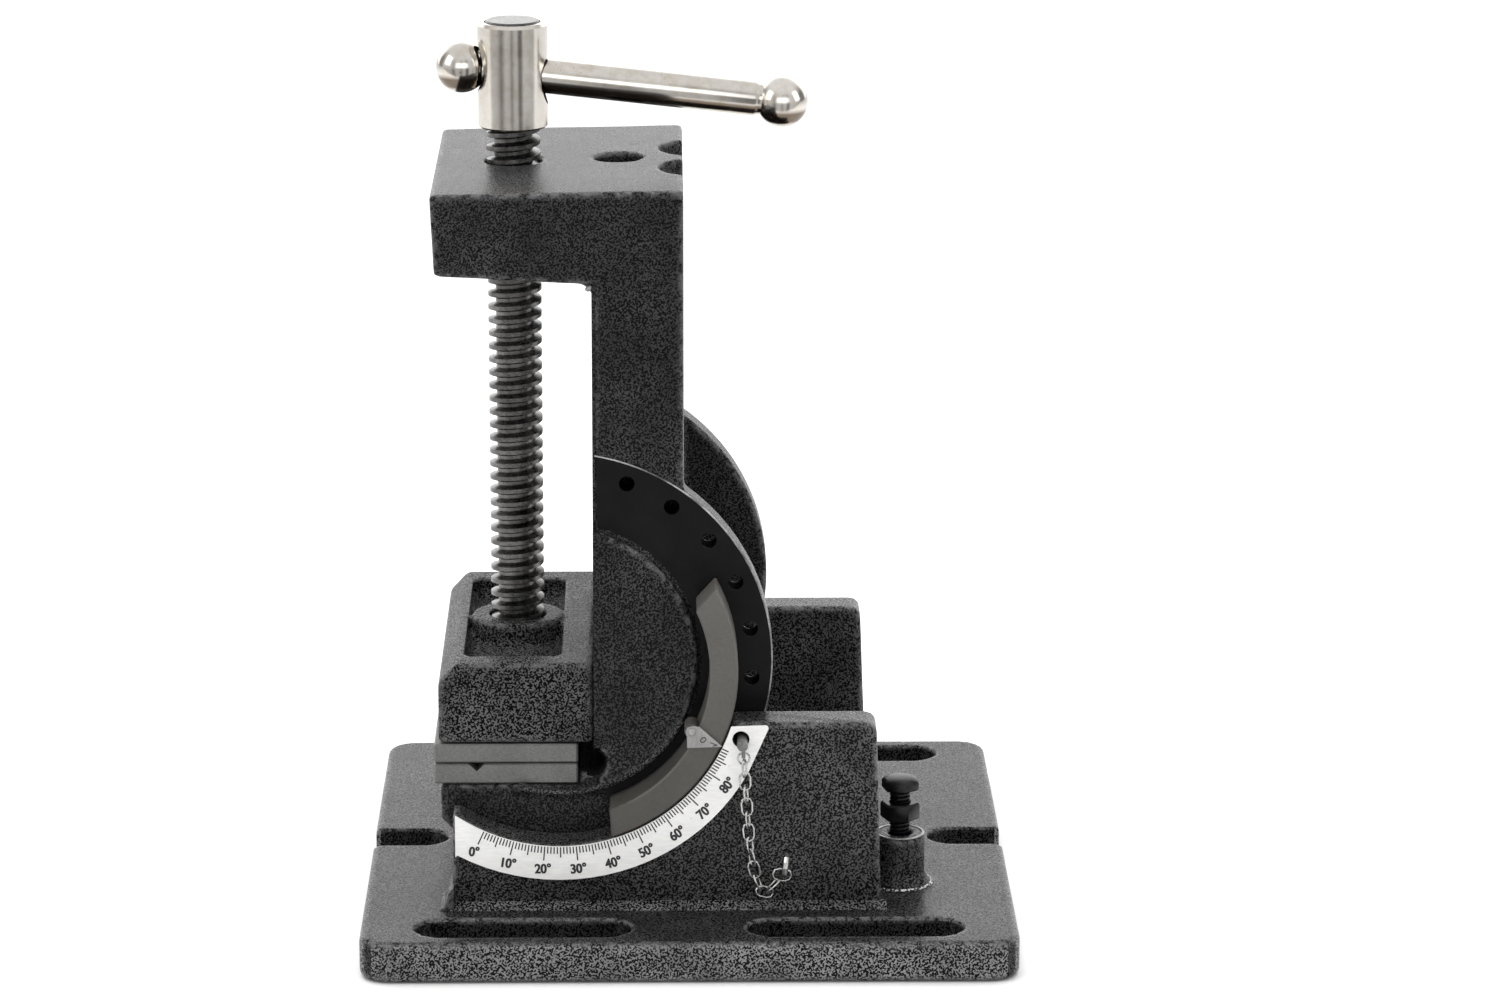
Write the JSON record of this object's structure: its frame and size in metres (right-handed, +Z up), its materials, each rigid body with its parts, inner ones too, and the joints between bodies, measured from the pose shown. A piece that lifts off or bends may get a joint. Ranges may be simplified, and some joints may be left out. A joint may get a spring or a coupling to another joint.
{
  "type": "tilting drill press vise",
  "caption": "Angle-tilting machine vise for a drill press: slotted base with two cheeks, dial and index pin, and a swinging vise body with jaws, lead screw and tommy-bar handle.",
  "frame": {"origin": "centre of the underside of the base plate", "axes": "+Z up, +X to the side the vise tilts down to, -Y towards the dial cheek; the tilt axis runs along Y"},
  "size_m": [0.191, 0.197, 0.2637],
  "materials": {
    "hammertone_paint": "dark grey hammertone stoved paint over cast iron",
    "jaw_steel": "ground steel",
    "arc_steel": "brown-grey machined band",
    "screw_steel": "dark oiled steel",
    "nickel": "polished nickel plating",
    "black_oxide": "black oxide",
    "dial_white": "printed off-white plate",
    "zinc": "bright zinc plating"
  },
  "bodies": {
    "base": {"base_casting": "hammertone_paint", "chain_link_01": "zinc", "chain_link_02": "zinc", "chain_link_03": "zinc", "chain_link_04": "zinc", "chain_link_05": "zinc", "chain_link_06": "zinc", "chain_link_07": "zinc", "chain_link_08": "zinc", "chain_link_09": "zinc", "chain_link_10": "zinc", "chain_link_11": "zinc", "chain_link_12": "zinc", "chain_link_13": "zinc", "chain_staple": "zinc", "dial_plate": "dial_white"},
    "vise": {"fixed_jaw_plate": "jaw_steel", "fixed_plate_screw_front": "black_oxide", "fixed_plate_screw_rear": "black_oxide", "front_swivel_arc": "arc_steel", "pointer": "zinc", "pointer_rivet": "zinc", "rear_swivel_arc": "arc_steel", "vise_body": "hammertone_paint"},
    "jaw": {"keeper_plate": "jaw_steel", "keeper_screw_high": "black_oxide", "keeper_screw_low": "black_oxide", "moving_jaw": "hammertone_paint", "moving_jaw_plate": "jaw_steel", "moving_plate_screw_front": "black_oxide", "moving_plate_screw_rear": "black_oxide", "retaining_pin": "jaw_steel"},
    "screw": {"handle_hub": "nickel", "lead_screw": "screw_steel"},
    "bar": {"handle_ball_left": "nickel", "handle_ball_right": "nickel", "handle_bar": "nickel"},
    "pin": {"index_pin": "zinc", "index_pin_ring": "zinc"},
    "stop": {"stop_bolt": "black_oxide"},
    "nut": {"stop_nut": "black_oxide"},
    "lock": {"rear_lock_bolt": "black_oxide"}
  },
  "joints": [
    {"name": "tilt", "type": "hinge", "parent": "base", "child": "vise", "pos_m": [-0.0378, 0, 0.0834], "axis": [0, 1, 0], "range_deg": [0, 90]},
    {"name": "jaw_slide", "type": "slide", "parent": "vise", "child": "jaw", "axis": [0, 0, 1], "range_m": [0, 0.1]},
    {"name": "screw_turn", "type": "hinge", "parent": "jaw", "child": "screw", "pos_m": [-0.0511, 0, 0.0577], "axis": [0, 0, 1], "range_deg": [0, 9000.5]},
    {"name": "bar_slide", "type": "slide", "parent": "screw", "child": "bar", "axis": [0.9938, 0, -0.1115], "range_m": [-0.064, 0]},
    {"name": "pin_slide", "type": "slide", "parent": "base", "child": "pin", "axis": [0, -1, 0], "range_m": [0, 0.028], "deforming": ["chain_link_01", "chain_link_02", "chain_link_03", "chain_link_04", "chain_link_05", "chain_link_06", "chain_link_07", "chain_link_08", "chain_link_09", "chain_link_10", "chain_link_11", "chain_link_12", "chain_link_13"]},
    {"name": "stop_lift", "type": "slide", "parent": "base", "child": "stop", "axis": [0, 0, 1], "range_m": [-0.0018, 0]},
    {"name": "nut_lift", "type": "slide", "parent": "base", "child": "nut", "axis": [0, 0, 1], "range_m": [0, 0.0018]},
    {"name": "lock_turn", "type": "hinge", "parent": "base", "child": "lock", "pos_m": [-0.00733, 0, 0.03464], "axis": [0, 1, 0], "range_deg": [0, 180]}
  ],
  "couplings": [
    {"joint": "screw_turn", "follows": "jaw_slide", "rad_per_m": 1570.8}
  ]
}
